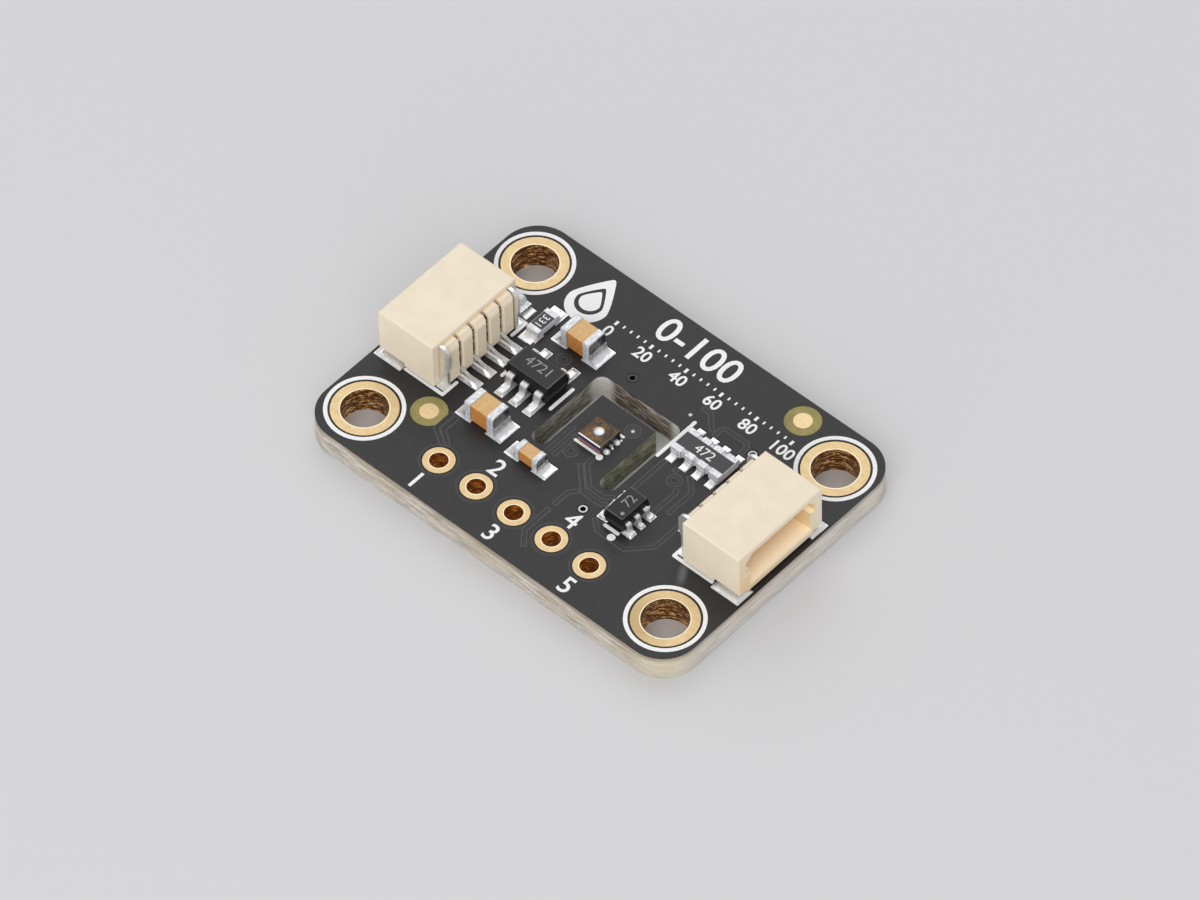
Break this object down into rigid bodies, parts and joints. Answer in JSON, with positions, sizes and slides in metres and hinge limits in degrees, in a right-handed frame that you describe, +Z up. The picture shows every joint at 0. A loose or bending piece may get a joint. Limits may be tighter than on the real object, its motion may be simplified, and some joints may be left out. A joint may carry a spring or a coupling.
{
  "type": "temperature humidity sensor module",
  "caption": "Small charcoal circuit board with a temperature and humidity sensor on a slotted island, a cable socket at each short edge, a pin header row and plated mounting holes.",
  "frame": {"origin": "centre of the board's underside", "axes": "+X along the board's long side, from the first header hole to the fifth; +Y from the header row towards the titled edge; +Z up, out of the component side"},
  "size_m": [0.025, 0.0176, 0.0047],
  "materials": {
    "laminate": "satin, tan cut edges",
    "solder_mask": "dark charcoal, satin",
    "gold_plating": "matte gold",
    "silkscreen": "white print",
    "tinned_copper": "bright tinned",
    "solder": "bright, slightly rough",
    "socket_plastic": "ivory, fine grain",
    "contact_metal": "bright",
    "black_epoxy": "matte black",
    "lead_metal": "bright",
    "alumina": "off-white ceramic",
    "resistor_glaze": "dark glaze",
    "capacitor_ceramic": "tan ceramic",
    "end_plating": "matte tin",
    "lamp_resin": "pale clear resin",
    "sensor_case": "dark brown, glossy",
    "sensor_window": "pale"
  },
  "bodies": {
    "root": {"chip_resistor_body": "alumina", "chip_resistor_coating": "resistor_glaze", "chip_resistor_terminals": "end_plating", "chip_solder": "solder", "component_pads": "tinned_copper", "fiducial_dots": "gold_plating", "header_hole_plating": "gold_plating", "input_capacitor_body": "capacitor_ceramic", "input_capacitor_terminals": "end_plating", "lead_solder": "solder", "left_socket_contacts": "contact_metal", "left_socket_housing": "socket_plastic", "left_socket_solder": "solder", "left_socket_tabs": "contact_metal", "level_shifter_body": "black_epoxy", "level_shifter_leads": "lead_metal", "mounting_hole_plating": "gold_plating", "output_capacitor_body": "capacitor_ceramic", "output_capacitor_terminals": "end_plating", "power_lamp_base": "alumina", "power_lamp_lens": "lamp_resin", "power_lamp_terminals": "end_plating", "printed_board": "laminate", "regulator_body": "black_epoxy", "regulator_leads": "lead_metal", "resistor_array_body": "alumina", "resistor_array_coating": "resistor_glaze", "resistor_array_terminals": "end_plating", "right_socket_contacts": "contact_metal", "right_socket_housing": "socket_plastic", "right_socket_solder": "solder", "right_socket_tabs": "contact_metal", "sensor_body": "sensor_case", "sensor_contacts": "lead_metal", "sensor_membrane": "sensor_window", "silkscreen_marks": "silkscreen", "small_capacitor_body": "capacitor_ceramic", "small_capacitor_terminals": "end_plating", "socket_pads": "tinned_copper", "top_solder_mask": "solder_mask", "via_plating": "tinned_copper"}
  },
  "joints": []
}
